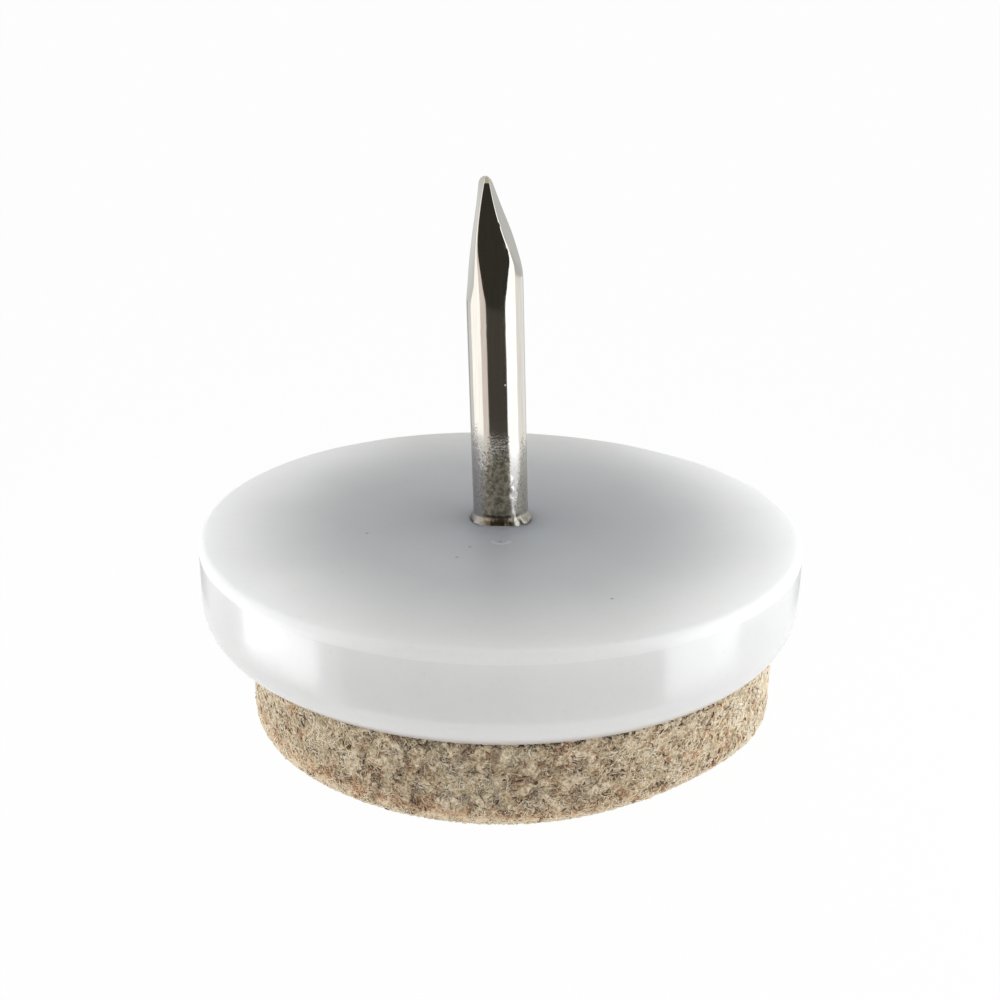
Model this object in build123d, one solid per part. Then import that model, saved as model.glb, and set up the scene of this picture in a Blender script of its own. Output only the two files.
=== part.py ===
from build123d import *

import os
from math import cos, radians, sin

# Nail-on furniture glide: a plastic disc moulded round the head of a nail, with a disc of pressed
# wool felt glued under it. The nail is driven up into a chair leg and the felt slides on the floor.
# Millimetres, +Z up. The origin is on the floor, at the middle of the plastic disc.

# Plastic disc
BASE_D = 24.0
BASE_THICKNESS = 4.6
TOP_EDGE_R = 0.3
# The underside sweeps up in a wide arc over so many degrees, then in a tighter arc into the side
UNDER_WIDE_R = 4.0
UNDER_TIGHT_R = 1.6
UNDER_WIDE_TURN = 38.0

# Felt disc: its edge stays inside the plastic by the overhang, and it was glued a little off centre
FELT_THICKNESS = 3.0
FELT_OVERHANG = 1.4
FELT_SHIFT = 0.5
FELT_EDGE = 0.5

# Nail: sizes along it are measured from the plastic's top face, and it leans a little to the left
NAIL_D = 2.2
NAIL_REACH = 13.6
NAIL_LEAN = 2.0
COLLAR_WIDTH = 0.14
COLLAR_LIP = 0.08
COLLAR_BEVEL = 0.28
NECK_D = 3.4
HEAD_D = 7.0
HEAD_THICKNESS = 1.0
HEAD_COVER = 1.2

# Point: four flats pinched to a blunt end that stands off the shank's axis, the front one narrower
# than the back one. A section holds the places of the front flat's left and right edges, those of the
# back flat's, and half the depth between the two flats.
POINT_LENGTH = 4.4
TIP_SECTION = (-0.29, -0.07, -0.48, -0.03, 0.25)
BELLY_SECTION = (-0.65, 0.44, -0.84, 0.73, 0.79)
ROOT_SECTION = (-0.82, 1.45, -1.5, 1.67, 1.13)
TIP_ROUND = 0.1

BASE_R = BASE_D / 2
BASE_TOP = FELT_THICKNESS + BASE_THICKNESS
WIDE_ACROSS = UNDER_WIDE_R * sin(radians(UNDER_WIDE_TURN))
TIGHT_ACROSS = UNDER_TIGHT_R * (1 - sin(radians(UNDER_WIDE_TURN)))
WIDE_UP = UNDER_WIDE_R * (1 - cos(radians(UNDER_WIDE_TURN)))
TIGHT_UP = UNDER_TIGHT_R * cos(radians(UNDER_WIDE_TURN))
UNDER_UP = WIDE_UP + TIGHT_UP
NAIL_R = NAIL_D / 2
NAIL_PLACE = Pos(0, 0, BASE_TOP) * Rot(0, -NAIL_LEAN, 0)


def disc_blank():
    """The moulded disc before it closes round the nail: half its section, turned about Z."""
    flat_r = BASE_R - WIDE_ACROSS - TIGHT_ACROSS
    side_foot = FELT_THICKNESS + UNDER_UP
    side_top = BASE_TOP - TOP_EDGE_R
    tight_turn = 90 - UNDER_WIDE_TURN
    outline = (
        Line((0, FELT_THICKNESS), (flat_r, FELT_THICKNESS))
        + CenterArc((flat_r, FELT_THICKNESS + UNDER_WIDE_R), UNDER_WIDE_R, -90, UNDER_WIDE_TURN)
        + CenterArc((BASE_R - UNDER_TIGHT_R, side_foot), UNDER_TIGHT_R, -tight_turn, tight_turn)
        + Line((BASE_R, side_foot), (BASE_R, side_top))
        + CenterArc((BASE_R - TOP_EDGE_R, side_top), TOP_EDGE_R, 0, 90)
        + Line((BASE_R - TOP_EDGE_R, BASE_TOP), (0, BASE_TOP))
        + Line((0, BASE_TOP), (0, FELT_THICKNESS))
    )
    return revolve(Plane.XZ * make_face(outline), Axis.Z)


def point_section(share, section):
    """One four-cornered section of the point, at a share of its length above its root."""
    front_left, front_right, back_left, back_right, depth = section
    corners = Polyline(
        (front_left, -depth),
        (front_right, -depth),
        (back_right, depth),
        (back_left, depth),
        close=True,
    )
    return Pos(0, 0, NAIL_REACH - POINT_LENGTH * (1 - share)) * make_face(corners)


def point_form():
    """The shape that the cutting dies leave: a wedge lofted from a root wider than the shank."""
    sections = [
        point_section(0, ROOT_SECTION),
        point_section(0.5, BELLY_SECTION),
        point_section(1, TIP_SECTION),
    ]
    return loft(sections)


def nail_blank():
    """Head, tapered neck that ends in the bevelled collar, and shank, turned about the nail's axis."""
    head_under = HEAD_COVER - BASE_THICKNESS
    head_top = head_under + HEAD_THICKNESS
    collar_r = NAIL_R + COLLAR_WIDTH
    point_root = NAIL_REACH - POINT_LENGTH
    outline = Polyline(
        (0, head_under),
        (HEAD_D / 2, head_under),
        (HEAD_D / 2, head_top),
        (NECK_D / 2, head_top),
        (collar_r, COLLAR_LIP),
        (NAIL_R, COLLAR_LIP + COLLAR_BEVEL),
        (NAIL_R, point_root),
        (0, point_root),
        close=True,
    )
    return revolve(Plane.XZ * make_face(outline), Axis.Z)


def nail():
    """The whole nail, standing in the disc: the turned blank and its pinched point, tip rounded."""
    stub = Pos(0, 0, NAIL_REACH - POINT_LENGTH) * Cylinder(
        NAIL_R, POINT_LENGTH, align=(Align.CENTER, Align.CENTER, Align.MIN)
    )
    point = stub & point_form()
    point = fillet(point.edges().group_by(Axis.Z)[-1], TIP_ROUND)
    return NAIL_PLACE * (nail_blank() + point)


def glide_base(blank, nail_solid):
    """The finished disc: the plastic sets round the nail, so the hollow is the nail's own form."""
    return blank - nail_solid


def felt_pad(blank):
    """Felt disc with a softened lower edge, its top pressed to the form of the plastic's underside."""
    felt_r = BASE_R - FELT_OVERHANG
    height = FELT_THICKNESS + UNDER_UP
    disc = Cylinder(felt_r, height, align=(Align.CENTER, Align.CENTER, Align.MIN))
    disc = chamfer(disc.edges().group_by(Axis.Z)[0], FELT_EDGE)
    return Pos(FELT_SHIFT, 0, 0) * disc - blank


def main():
    os.makedirs("parts", exist_ok=True)
    blank = disc_blank()
    nail_solid = nail()
    parts = {
        "glide_base": glide_base(blank, nail_solid),
        "nail": nail_solid,
        "felt_pad": felt_pad(blank),
    }
    for name, shape in parts.items():
        shape.label = name
        export_step(shape, f"parts/{name}.step")
        print(name, "volume", round(shape.volume, 2), "mm3")


main()
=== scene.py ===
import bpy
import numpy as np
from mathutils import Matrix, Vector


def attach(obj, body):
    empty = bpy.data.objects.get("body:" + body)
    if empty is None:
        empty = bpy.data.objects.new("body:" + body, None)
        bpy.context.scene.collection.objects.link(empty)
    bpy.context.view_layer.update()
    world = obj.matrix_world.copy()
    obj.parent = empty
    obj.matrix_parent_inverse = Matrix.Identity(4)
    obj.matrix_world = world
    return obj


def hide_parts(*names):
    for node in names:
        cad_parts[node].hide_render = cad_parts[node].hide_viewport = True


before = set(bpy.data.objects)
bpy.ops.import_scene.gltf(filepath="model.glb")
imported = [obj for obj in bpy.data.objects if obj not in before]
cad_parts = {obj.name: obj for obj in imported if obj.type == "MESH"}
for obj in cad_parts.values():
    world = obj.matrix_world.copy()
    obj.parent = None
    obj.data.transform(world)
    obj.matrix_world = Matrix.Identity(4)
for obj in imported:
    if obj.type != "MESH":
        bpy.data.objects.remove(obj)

# %% [markdown]
# # A nail-on furniture glide, photographed on white
# A furniture glide is a small foot for a chair leg. A nail holds a milky plastic disc, and a disc of
# pressed wool felt glued under it slides on the floor. The solids are already there at their real
# size, so this lesson is about finishes: how milky plastic, plated steel and wool felt are made, and
# how a photographer's cards shape the light on a small bright thing. Blender works in metres here,
# and one millimetre gets a name so that sizes read as they are.

MM = 0.001
scene = bpy.context.scene
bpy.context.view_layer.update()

# %% [markdown]
# ## The camera
# The photograph looks down at the glide from a little over 20 degrees and less than a hand's width
# away, so the near rim is seen larger than the far one. The camera is placed by an elevation, a
# distance and the point that it looks at, and it is rolled by half a degree as a hand-held one is.

# %% Camera
CAMERA_ELEVATION = np.radians(20.4917)
CAMERA_ROLL = np.radians(0.566)
CAMERA_DISTANCE = 56.2661 * MM
CAMERA_TARGET = Vector((-0.0468, 0.0, 8.3759)) * MM
CAMERA_LENS = 50.351
CAMERA_SENSOR = 36.0


def add_camera():
    """Places the camera back from its target, and writes its rolled axes into its matrix."""
    back = Vector((0.0, -np.cos(CAMERA_ELEVATION), np.sin(CAMERA_ELEVATION)))
    level = Vector((1.0, 0.0, 0.0))
    rise = back.cross(level)
    right = level * np.cos(CAMERA_ROLL) + rise * np.sin(CAMERA_ROLL)
    up = rise * np.cos(CAMERA_ROLL) - level * np.sin(CAMERA_ROLL)
    place = CAMERA_TARGET + back * CAMERA_DISTANCE
    lens = bpy.data.cameras.new("camera")
    lens.lens = CAMERA_LENS
    lens.sensor_width = CAMERA_SENSOR
    lens.clip_start = 1 * MM
    lens.clip_end = 20.0
    camera = bpy.data.objects.new("camera", lens)
    camera.matrix_world = Matrix((right, up, back)).transposed().to_4x4()
    camera.matrix_world.translation = place
    scene.collection.objects.link(camera)
    scene.camera = camera
    return camera


camera = add_camera()
scene.view_settings.view_transform = "Standard"
print("camera stands at", [round(v / MM, 1) for v in camera.matrix_world.translation], "mm")

# %% [markdown]
# ## Helpers for shader nodes and objects
# A material is a small graph. One helper adds a box and fills its inputs: an output of another box
# becomes a wire, and anything else is set as a constant.

# %% Helpers


def add_node(kind, settings=None, tree=None, **inputs):
    """Adds a shader node of a kind, sets its properties, and links or sets its inputs by name or
    number. It goes into the graph of the outputs that it is linked to, where no other is given."""
    if tree is None:
        tree = next(value.id_data for value in inputs.values() if isinstance(value, bpy.types.NodeSocket))
    made = tree.nodes.new("ShaderNode" + kind)
    for name, value in (settings or {}).items():
        setattr(made, name, value)
    for name, value in inputs.items():
        key = int(name[1:]) if name[0] == "_" else name.replace("_", " ")
        if isinstance(value, bpy.types.NodeSocket):
            tree.links.new(value, made.inputs[key])
        else:
            made.inputs[key].default_value = value
    return made


def new_material(name):
    """A material with an empty graph, and that graph."""
    material = bpy.data.materials.new(name)
    material.use_nodes = True
    material.node_tree.nodes.clear()
    return material, material.node_tree


def add_shader(tree, kind="BsdfPrincipled", **inputs):
    """The shader of a finish, its inputs linked or set, and wired to the material's output."""
    shader = add_node(kind, tree=tree, **inputs)
    add_node("OutputMaterial", Surface=shader.outputs[0])


def add_object(name, data):
    """An object that shows some data, linked to the scene."""
    made = bpy.data.objects.new(name, data)
    scene.collection.objects.link(made)
    return made


def add_math(operation, first, second=0.0, third=0.0):
    """One Math box; returns its output."""
    settings = {"operation": operation}
    return add_node("Math", settings, _0=first, _1=second, _2=third).outputs[0]


def add_product(first, second, plus=0.0):
    """Two numbers multiplied, such as two shares that must both hold, plus a third."""
    return add_math("MULTIPLY_ADD", first, second, plus)


def add_blend(share, first, second, way="MIX"):
    """Mixes two colours by a share from 0 to 1; returns the mixed colour."""
    settings = {"data_type": "RGBA", "blend_type": way}
    return add_node("Mix", settings, _0=share, _6=first, _7=second).outputs[2]


def add_choice(share, first, second):
    """Mixes two numbers by a share from 0 to 1."""
    return add_node("Mix", _0=share, _2=first, _3=second).outputs[0]


def add_step(value, low, high):
    """0 where value is at low, 1 where it is at high, and a soft step between them."""
    settings = {"interpolation_type": "SMOOTHSTEP"}
    return add_node("MapRange", settings, _0=value, _1=low, _2=high).outputs[0]


def add_band(value, low, high, far_high, far_low):
    """1 where value is between high and far_high, 0 outside low and far_low, and soft in between."""
    return add_product(add_step(value, low, high), add_step(value, far_low, far_high))


def paint(red, green, blue):
    """A colour given as it looks on a screen, from 0 to 255, turned into linear light."""
    screen = np.array([red, green, blue]) / 255
    linear = np.where(screen < 0.04045, screen / 12.92, ((screen + 0.055) / 1.055) ** 2.4)
    return (*linear.tolist(), 1.0)


print("helpers are ready")

# %% [markdown]
# ## The white studio
# The glide was photographed on pure white with no visible edge of the table and hardly a shadow. To
# the camera and to reflections this very large floor is nearly plain white, and its small matt share
# keeps a faint shadow under the felt. To all other light it is half glowing, like a table lit from
# below, so the disc's underside and the felt's foot don't go dark. The world is white to the camera
# too, and lights the glide as a pale room would.

# %% Floor and world
FLOOR_HALF = 3.0
FLOOR_COLOUR = (0.94, 0.94, 0.94, 1.0)
FLOOR_WHITE_SHARE = 0.97
FLOOR_GLOW_SHARE = 0.5
SEEN_WHITE = 1.0
ROOM_LOW = 0.45
ROOM_HIGH = 0.49
MIRRORED_ABOVE = (0.60, 0.53, 0.38, 1)
# How steeply a ray has to rise to start and to end the change from the room's low to its high part
HIGH_PART = (0.05, 0.75)


def seen_directly(tree):
    """1 for rays from the camera, from a mirror-like surface or through glass, and 0 for others."""
    rays = add_node("LightPath", tree=tree)
    mirrored = add_math("MAXIMUM", rays.outputs["Is Camera Ray"], rays.outputs["Is Glossy Ray"])
    return add_math("MAXIMUM", mirrored, rays.outputs["Is Transmission Ray"])


def add_floor():
    """A flat square, matt mixed with a white glow that takes nearly all for camera and mirrors."""
    material, tree = new_material("studio_floor")
    matt = add_node("BsdfDiffuse", tree=tree, Color=FLOOR_COLOUR)
    white = add_node("Emission", tree=tree, Color=(1, 1, 1, 1), Strength=SEEN_WHITE)
    share = add_product(seen_directly(tree), FLOOR_WHITE_SHARE)
    share = add_math("MAXIMUM", share, FLOOR_GLOW_SHARE)
    add_shader(tree, "MixShader", _0=share, _1=matt.outputs[0], _2=white.outputs[0])
    mesh = bpy.data.meshes.new("studio_floor")
    half = FLOOR_HALF
    corners = [(-half, -half, 0), (half, -half, 0), (half, half, 0), (-half, half, 0)]
    mesh.from_pydata(corners, [], [(0, 1, 2, 3)])
    mesh.materials.append(material)
    add_object("studio_floor", mesh)


def light_the_room():
    """The world: white to the eye, and a pale light on everything. Mirror-like surfaces see it white
    near the horizon and tan overhead, as a wooden ceiling is."""
    world = bpy.data.worlds.new("pale_room")
    scene.world = world
    world.use_nodes = True
    tree = world.node_tree
    tree.nodes.clear()
    way = add_node("TexCoord", tree=tree).outputs["Generated"]
    height = add_node("SeparateXYZ", Vector=way).outputs["Z"]
    overhead = add_step(height, *HIGH_PART)
    rays = add_node("LightPath", tree=tree)
    to_all = add_product(overhead, ROOM_HIGH - ROOM_LOW, ROOM_LOW)
    to_mirrors = add_blend(overhead, (1, 1, 1, 1), MIRRORED_ABOVE)
    lit = add_blend(rays.outputs["Is Glossy Ray"], to_all, to_mirrors)
    eye = add_math("MAXIMUM", rays.outputs["Is Camera Ray"], rays.outputs["Is Transmission Ray"])
    light = add_blend(eye, lit, (SEEN_WHITE, SEEN_WHITE, SEEN_WHITE, 1))
    glow = add_node("Background", Color=light, Strength=1.0)
    add_node("OutputWorld", Surface=glow.outputs[0])


add_floor()
light_the_room()
print("the floor is", 2 * FLOOR_HALF, "m across, and the room gives", ROOM_LOW, "of full light")

# %% [markdown]
# ## Lamps, and what a mirror sees
# The side lamps stand close to the glide, so light enters the milky disc at its left and right ends.
# A shiny nail shows nothing but its surroundings. On the photographed one a dark stripe runs down the
# front between two bright ones, and the edges are grey on the left and pale on the right. On an
# upright cylinder, the stripe at an angle A from the front mirrors the room at the angle 2A. So a ring
# of cards stands round the glide, each between two such angles, and only mirror-like rays see them.
# The disc's side mirrors what stands low, so it has low cards of its own: a bright one at the left and
# at the right, and dim ones behind.

# %% Lamps and cards
BOX_ASIDE = 29 * MM
BOX_NEAR = -34 * MM
BOX_FAR = 20 * MM
BOX_LIFT = 5 * MM
BOX_HEIGHT = 30 * MM
LEFT_GLOW = 1.1
RIGHT_GLOW = 1.6
SIDE_TINT = (0.95, 0.975, 1.0)
FRONT_AWAY = 95 * MM
FRONT_WIDTH = 150 * MM
FRONT_HEIGHT = 60 * MM
FRONT_GLOW = 0.32
FRONT_TINT = (1.0, 0.985, 0.96)
CARD_STEPS = 25
# Each card's radius, first and last turn in degrees, foot and top, and colour. Sizes are in mm.
CARDS = {
    "card_dark_low": (17, -37, 39, 0.2, 13, (0.066, 0.060, 0.051)),
    "card_dark_high": (17, -37, 39, 13, 40, (0.037, 0.034, 0.028)),
    "card_tan": (24, -62, -37, 0.2, 60, (0.86, 0.78, 0.74)),
    "card_white_left": (24, -114, -62, 0.2, 60, (1.4, 1.4, 1.38)),
    "card_pale_left": (24, -140, -114, 0.2, 12, (0.78, 0.79, 0.78)),
    "card_grey_left": (24, -180, -140, 0.2, 12, (0.47, 0.48, 0.47)),
    "card_high_left": (24, -180, -114, 12, 60, (0.72, 0.73, 0.72)),
    "card_white_right": (24, 39, 88, 0.2, 60, (1.6, 1.6, 1.6)),
    "card_pale_right": (24, 88, 150, 0.2, 14, (1.0, 1.0, 0.99)),
    "card_dim_right": (24, 150, 180, 0.2, 14, (0.66, 0.67, 0.67)),
    "card_grey_right": (24, 88, 180, 14, 60, (0.60, 0.61, 0.60)),
    "card_low_left": (19.5, -77, -47, 0.7, 3.2, (4.6, 4.6, 4.7)),
    "card_low_right": (19.5, 40, 68, 0.7, 3.2, (3.0, 3.0, 3.1)),
    "card_end_left": (18.5, -180, -105, 0.2, 2.6, (0.5, 0.5, 0.51)),
    "card_end_right": (18.5, 105, 180, 0.2, 2.6, (0.5, 0.5, 0.51)),
}


def add_lamp(name, middle, facing, width, height, glow, tint):
    """An upright rectangular lamp that shines where facing points, as a white surface in full light
    does times glow. No mirror shows it."""
    lamp = bpy.data.lights.new(name, "AREA")
    lamp.color = tint
    lamp.shape = "RECTANGLE"
    lamp.size = width
    lamp.size_y = height
    lamp.energy = glow * np.pi * width * height
    box = add_object(name, lamp)
    back = -Vector(facing)
    up = Vector((0, 0, 1))
    box.matrix_world = Matrix((up.cross(back), up, back)).transposed().to_4x4()
    box.matrix_world.translation = middle
    box.visible_camera = False
    box.visible_glossy = False


def add_card(name, radius, first, last, foot, top, colour):
    """Part of an upright cylinder round the glide from a first to a last turn in degrees, seen only in
    mirror-like surfaces. A turn of 0 is the camera's side, and turns grow to the right."""
    turns = np.radians(np.linspace(first, last, CARD_STEPS))
    ring = np.stack([radius * np.sin(turns), -radius * np.cos(turns)], 1)
    low = np.column_stack([ring, np.full(len(ring), foot)])
    high = np.column_stack([ring, np.full(len(ring), top)])
    start = np.arange(len(ring) - 1)
    faces = np.stack([start, start + 1, start + 1 + len(ring), start + len(ring)], 1)
    mesh = bpy.data.meshes.new(name)
    mesh.from_pydata(np.concatenate([low, high]), [], faces.tolist())
    material, tree = new_material(name)
    add_shader(tree, "Emission", Color=(*colour, 1), Strength=1.0)
    mesh.materials.append(material)
    card = add_object(name, mesh)
    card.visible_camera = False
    card.visible_diffuse = False
    card.visible_transmission = False
    card.visible_shadow = False


box_width = BOX_FAR - BOX_NEAR
for name, side, glow in [("lamp_left", -1, LEFT_GLOW), ("lamp_right", 1, RIGHT_GLOW)]:
    box_middle = (side * BOX_ASIDE, (BOX_NEAR + BOX_FAR) / 2, BOX_LIFT + BOX_HEIGHT / 2)
    add_lamp(name, box_middle, (-side, 0, 0), box_width, BOX_HEIGHT, glow, SIDE_TINT)
front_middle = (0, -FRONT_AWAY, FRONT_HEIGHT / 2)
add_lamp("lamp_front", front_middle, (0, 1, 0), FRONT_WIDTH, FRONT_HEIGHT, FRONT_GLOW, FRONT_TINT)
for name, (radius, first, last, foot, top, colour) in CARDS.items():
    add_card(name, radius * MM, first, last, foot * MM, top * MM, colour)
print("each side lamp is", round(box_width / MM), "by", round(BOX_HEIGHT / MM), "mm, and there are",
      len(CARDS), "cards")

# %% [markdown]
# ## A shared grain
# Plastic, plating and wool all have small irregularities, at different sizes. One group of nodes makes
# a fine grain from 0 to 1, and flecks, which are the few spots where the grain is lowest.

# %% Grain group


def grain_group():
    """A node group that turns a place and a fineness into grain and flecks."""
    tree = bpy.data.node_groups.new("fine_grain", "ShaderNodeTree")
    tree.interface.new_socket("Place", in_out="INPUT", socket_type="NodeSocketVector")
    for name, side in [("Fineness", "INPUT"), ("Grain", "OUTPUT"), ("Flecks", "OUTPUT")]:
        tree.interface.new_socket(name, in_out=side, socket_type="NodeSocketFloat")
    given = tree.nodes.new("NodeGroupInput").outputs
    noise = add_node("TexNoise", Vector=given["Place"], Scale=given["Fineness"], Detail=3.0)
    flecks = add_step(noise.outputs["Fac"], 0.36, 0.27)
    result = tree.nodes.new("NodeGroupOutput")
    tree.links.new(noise.outputs["Fac"], result.inputs["Grain"])
    tree.links.new(flecks, result.inputs["Flecks"])
    return tree


fine_grain = grain_group()


def add_grain(place, fineness):
    """The grain and the flecks at a place; a higher fineness makes them smaller."""
    settings = {"node_tree": fine_grain}
    made = add_node("Group", settings, Place=place, Fineness=fineness)
    return made.outputs["Grain"], made.outputs["Flecks"]


print("the grain group has", len(fine_grain.nodes), "nodes")

# %% [markdown]
# ## Milky plastic
# The disc is moulded polyethylene. Light enters it and wanders about before it leaves, so its edges
# glow and its middle, over the buried nail head and the brown felt, looks greyer and a little blue.
# Subsurface scattering gives the soft edges. The grey middle and the pale rim are painted shade and
# painted glow, a colour that changes with the distance from the nail, and the top is painted palest at
# its left and right ends, where the side lamps shine in. The dark specks and the small crescent scar
# are this one disc's own.

# %% Plastic finish
SCATTER_REACH = 2.6 * MM
DARK_SPECKS = [(-5.25, -1.77), (-1.18, -3.10), (-1.65, -4.10), (3.94, -7.69), (-0.02, -2.55)]
SPECK_R = 0.055 * MM
SCAR_MIDDLE = (0.0, -2.45)
SCAR_R = 0.34 * MM
# Painted shade and glow. Each pair holds the colour nearer the nail and the one further out; on top
# the far one is at the left and right ends
PAINTED_SHADE_GREYS = (paint(172, 175, 179), paint(192, 193, 194))
TOP_PAINTED_GLOW_WHITES = (paint(226, 226, 224), paint(246, 246, 245))
SIDE_WHITE = paint(223, 223, 222)
SPECK_BLACK = (0.10, 0.09, 0.08, 1)
SCAR_WHITE = (0.95, 0.95, 0.96, 1)
FOOT_SHADE = (0.22, 0.22, 0.25, 1)
SIDE_ROUGHNESS = 0.2
TOP_ROUGHNESS = 0.42


def add_vector_math(operation, first, second=(0, 0, 0), third=(0, 0, 0)):
    """One Vector Math box; returns the box, because some of its sums end in a number."""
    settings = {"operation": operation}
    return add_node("VectorMath", settings, _0=first, _1=second, _2=third)


def add_distance(place, across, upward):
    """The distance, seen from above, from an upright line that stands at a place given in mm."""
    flat = add_vector_math("MULTIPLY_ADD", place, (1, 1, 0), (-across * MM, -upward * MM, 0))
    return add_vector_math("LENGTH", flat.outputs[0]).outputs["Value"]


def speck_share(place, flecks):
    """How much dark specks show: faint ones wherever the grain is lowest, and five strong ones."""
    specks = add_product(flecks, 0.035)
    for across, upward in DARK_SPECKS:
        near = add_step(add_distance(place, across, upward), 1.7 * SPECK_R, 0.6 * SPECK_R)
        specks = add_math("MAXIMUM", specks, add_product(near, 0.55))
    return specks


def scar_share(place, toward_back):
    """A thin crescent: the front part of a small ring."""
    from_ring = add_math("SUBTRACT", add_distance(place, *SCAR_MIDDLE), SCAR_R)
    ring = add_step(add_math("ABSOLUTE", from_ring), 0.09 * MM, 0.03 * MM)
    return add_product(ring, add_step(toward_back, -2.4 * MM, -2.55 * MM))


def plastic_material():
    """Milky plastic: a pale rim of painted glow, palest at its left and right ends, a greyer middle of
    painted shade, specks, a scar, and a shine that is soft on top and sharper round the side."""
    material, tree = new_material("milky_plastic")
    place = add_node("TexCoord", tree=tree).outputs["Object"]
    parts = add_node("SeparateXYZ", Vector=place)
    out = add_distance(place, 0, 0)
    on_top = add_step(parts.outputs["Z"], 7.0 * MM, 7.3 * MM)
    # painted glow: the top is palest at its left and right ends, where the side lamps shine in
    painted_end_glow = add_step(add_math("ABSOLUTE", parts.outputs["X"]), 3 * MM, 9 * MM)
    rim = add_blend(on_top, SIDE_WHITE, add_blend(painted_end_glow, *TOP_PAINTED_GLOW_WHITES))
    # painted shade over the nail's head, and painted glow towards the rim
    colour = add_blend(add_step(out, 1.2 * MM, 7.5 * MM), *PAINTED_SHADE_GREYS)
    colour = add_blend(add_step(out, 5.6 * MM, 12.0 * MM), colour, rim)
    grain, flecks = add_grain(place, 4200.0)
    cloud, _ = add_grain(place, 260.0)
    mottled = add_product(cloud, 0.10, 0.935)
    mottled = add_product(grain, 0.03, mottled)
    colour = add_blend(1.0, colour, mottled, "MULTIPLY")
    colour = add_blend(speck_share(place, flecks), colour, SPECK_BLACK)
    scar = scar_share(place, parts.outputs["Y"])
    colour = add_blend(add_product(scar, 0.22), colour, SCAR_WHITE)
    # painted shade on the top round the nail's foot
    foot = add_step(add_distance(place, 0.0, -0.1), 2.1 * MM, 1.15 * MM)
    colour = add_blend(add_product(foot, 0.3), colour, FOOT_SHADE)
    height = add_math("SUBTRACT", grain, scar)
    bump = add_node("Bump", Height=height, Strength=0.25, Distance=0.012 * MM)
    shine = add_choice(on_top, SIDE_ROUGHNESS, TOP_ROUGHNESS)
    add_shader(tree, Base_Color=colour, Normal=bump.outputs["Normal"], Roughness=shine, IOR=1.5,
               Specular_IOR_Level=0.7, Subsurface_Weight=0.75, Subsurface_Radius=(1.0, 0.95, 0.9),
               Subsurface_Scale=SCATTER_REACH)
    return material


plastic = plastic_material()
print("the plastic has", len(plastic.node_tree.nodes), "nodes")

# %% [markdown]
# ## Bumps without seams, and meshes from arrays
# A noise that is a sum of waves through space has no seam and no poles: each wave has its own
# direction, and the sum is read at the points themselves. Meshes are filled from whole arrays of
# corners, which is far quicker than adding faces one by one.

# %% Wave noise and mesh filling


def wave_noise(points, size, seed, waves=48):
    """The sum of cosines of the distance along random directions, with wavelengths near size. It
    has an average of 0 and a spread of 1."""
    rng = np.random.default_rng(seed)
    ways = rng.normal(size=(waves, 3))
    ways /= np.linalg.norm(ways, axis=1)[:, None]
    ways *= (2 * np.pi / (size * rng.uniform(0.7, 1.5, waves)))[:, None]
    total = np.zeros(points.shape[:-1])
    for way, start in zip(ways, rng.uniform(0, 2 * np.pi, waves)):
        total += np.cos(points @ way + start)
    return total * np.sqrt(2 / waves)


def mesh_piece(name, points, quads, triangles, material, body="root", slot=None):
    """A smooth-shaded mesh object from arrays of points, four-sided and three-sided faces."""
    mesh = bpy.data.meshes.new(name)
    mesh.vertices.add(len(points))
    mesh.vertices.foreach_set("co", np.ascontiguousarray(points, np.float32).ravel())
    corners = np.concatenate([quads.ravel(), triangles.ravel()]).astype(np.int32)
    starts = np.concatenate([np.arange(0, quads.size, 4), quads.size + np.arange(0, triangles.size, 3)])
    mesh.loops.add(len(corners))
    mesh.loops.foreach_set("vertex_index", corners)
    mesh.polygons.add(len(starts))
    mesh.polygons.foreach_set("loop_start", starts.astype(np.int32))
    mesh.update(calc_edges=True)
    mesh.validate()
    mesh.shade_smooth()
    mesh.materials.append(material)
    piece = add_object(name, mesh)
    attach(piece, body)
    return piece


def closed_rings(rings, around):
    """Faces of a closed shell: rings of points joined by quads, and a pole at each end."""
    here = np.arange(around)
    after = (here + 1) % around
    row = np.arange(rings - 1)[:, None] * around
    quads = np.stack([row + here, row + after, row + around + after, row + around + here], -1)
    first_pole = rings * around
    last_row = first_pole - around
    start_fan = np.stack([np.full(around, first_pole), after, here], -1)
    end_fan = np.stack([np.full(around, first_pole + 1), last_row + here, last_row + after], -1)
    return quads.reshape(-1, 4), np.concatenate([start_fan, end_fan])


def full_turn(steps):
    """Turns all round, evenly spaced, in one row."""
    return np.linspace(0, 2 * np.pi, steps, endpoint=False)[None, :]


def around_axis(out, turn, height, aside=0.0):
    """Points at a distance and a turn round an upright axis, which may stand aside, and at a height."""
    flat = (aside + out * np.cos(turn), out * np.sin(turn))
    return np.stack(np.broadcast_arrays(*flat, height), -1)


print("waves at 4 points:", np.round(wave_noise(np.eye(4, 3), 0.5, 1), 2))

# %% [markdown]
# ## The moulded disc
# The disc is turned from an outline, like the solid under it. Three things tell it from a perfect
# one: it sank a little as it cooled, most of all at the back right, the top is faintly wavy, and the
# plastic creeps up the front of the nail. Its inner wall leans with the nail.

# %% Disc surface
DISC_R = 12.0 * MM
DISC_TOP = 7.6 * MM
FLAT_R = 8.9224 * MM
SWEEP_R = 4.0 * MM
SWEEP_END = -52.0
TIGHT_R = 1.6 * MM
SIDE_FOOT = 5.1088 * MM
TOP_EDGE_R = 0.3 * MM
FELT_TOP = 3.0 * MM
SINK_TURN = np.radians(48.0)
SINK = 0.17 * MM
CREEP = 0.15 * MM
WALL_GAP = 0.004 * MM
DISC_AROUND = 448
NAIL_FOOT = DISC_TOP
NAIL_LEAN = np.radians(2.0)
HEAD_R = 3.5 * MM
HEAD_UNDER = -3.4 * MM
HEAD_TOP = -2.4 * MM
NECK_R = 1.7 * MM
LIP_R = 1.24 * MM


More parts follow.
